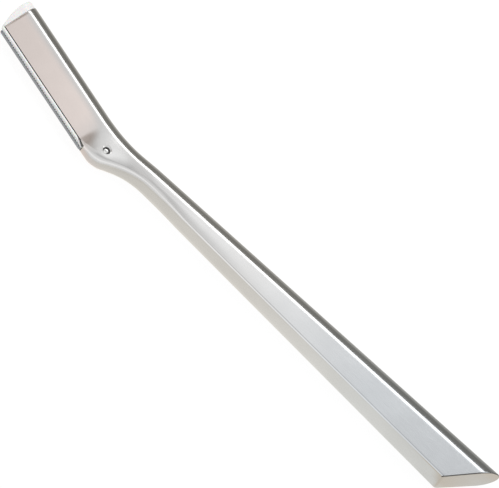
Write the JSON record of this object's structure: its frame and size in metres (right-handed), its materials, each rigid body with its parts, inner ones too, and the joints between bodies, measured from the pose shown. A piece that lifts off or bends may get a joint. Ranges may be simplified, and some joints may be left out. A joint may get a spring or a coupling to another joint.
{
  "type": "eyebrow razor",
  "caption": "Slim facial and eyebrow razor: tapering solid metal handle, angled slotted head, domed neck pin and a guarded blade cartridge that slides out by its crowned end cap.",
  "frame": {"origin": "on the flat back, in the middle of the grip's length and width, where the razor rests", "axes": "+X along the grip towards the slant-cut butt, +Y towards the rounded spine (the blade's edge faces -Y), +Z out of the front face"},
  "size_m": [0.1619, 0.0202, 0.0081],
  "materials": {
    "satin_steel": "fine satin, soft-polished edges",
    "polished_pin": "mirror polished",
    "white_plastic": "smooth moulded, slightly translucent white",
    "blade_steel": "ground, with a honed bevel",
    "guard_steel": "bright stamped sheet"
  },
  "bodies": {
    "handle": {"handle_body": "satin_steel", "neck_pin": "polished_pin"},
    "cartridge": {"cartridge_frame": "white_plastic", "cartridge_cover": "white_plastic", "razor_blade": "blade_steel", "guard_cover": "guard_steel"}
  },
  "joints": [
    {"name": "cartridge_slide", "type": "slide", "parent": "handle", "child": "cartridge", "axis": [-0.9673, 0.2538, 0], "range_m": [0, 0.042]}
  ]
}
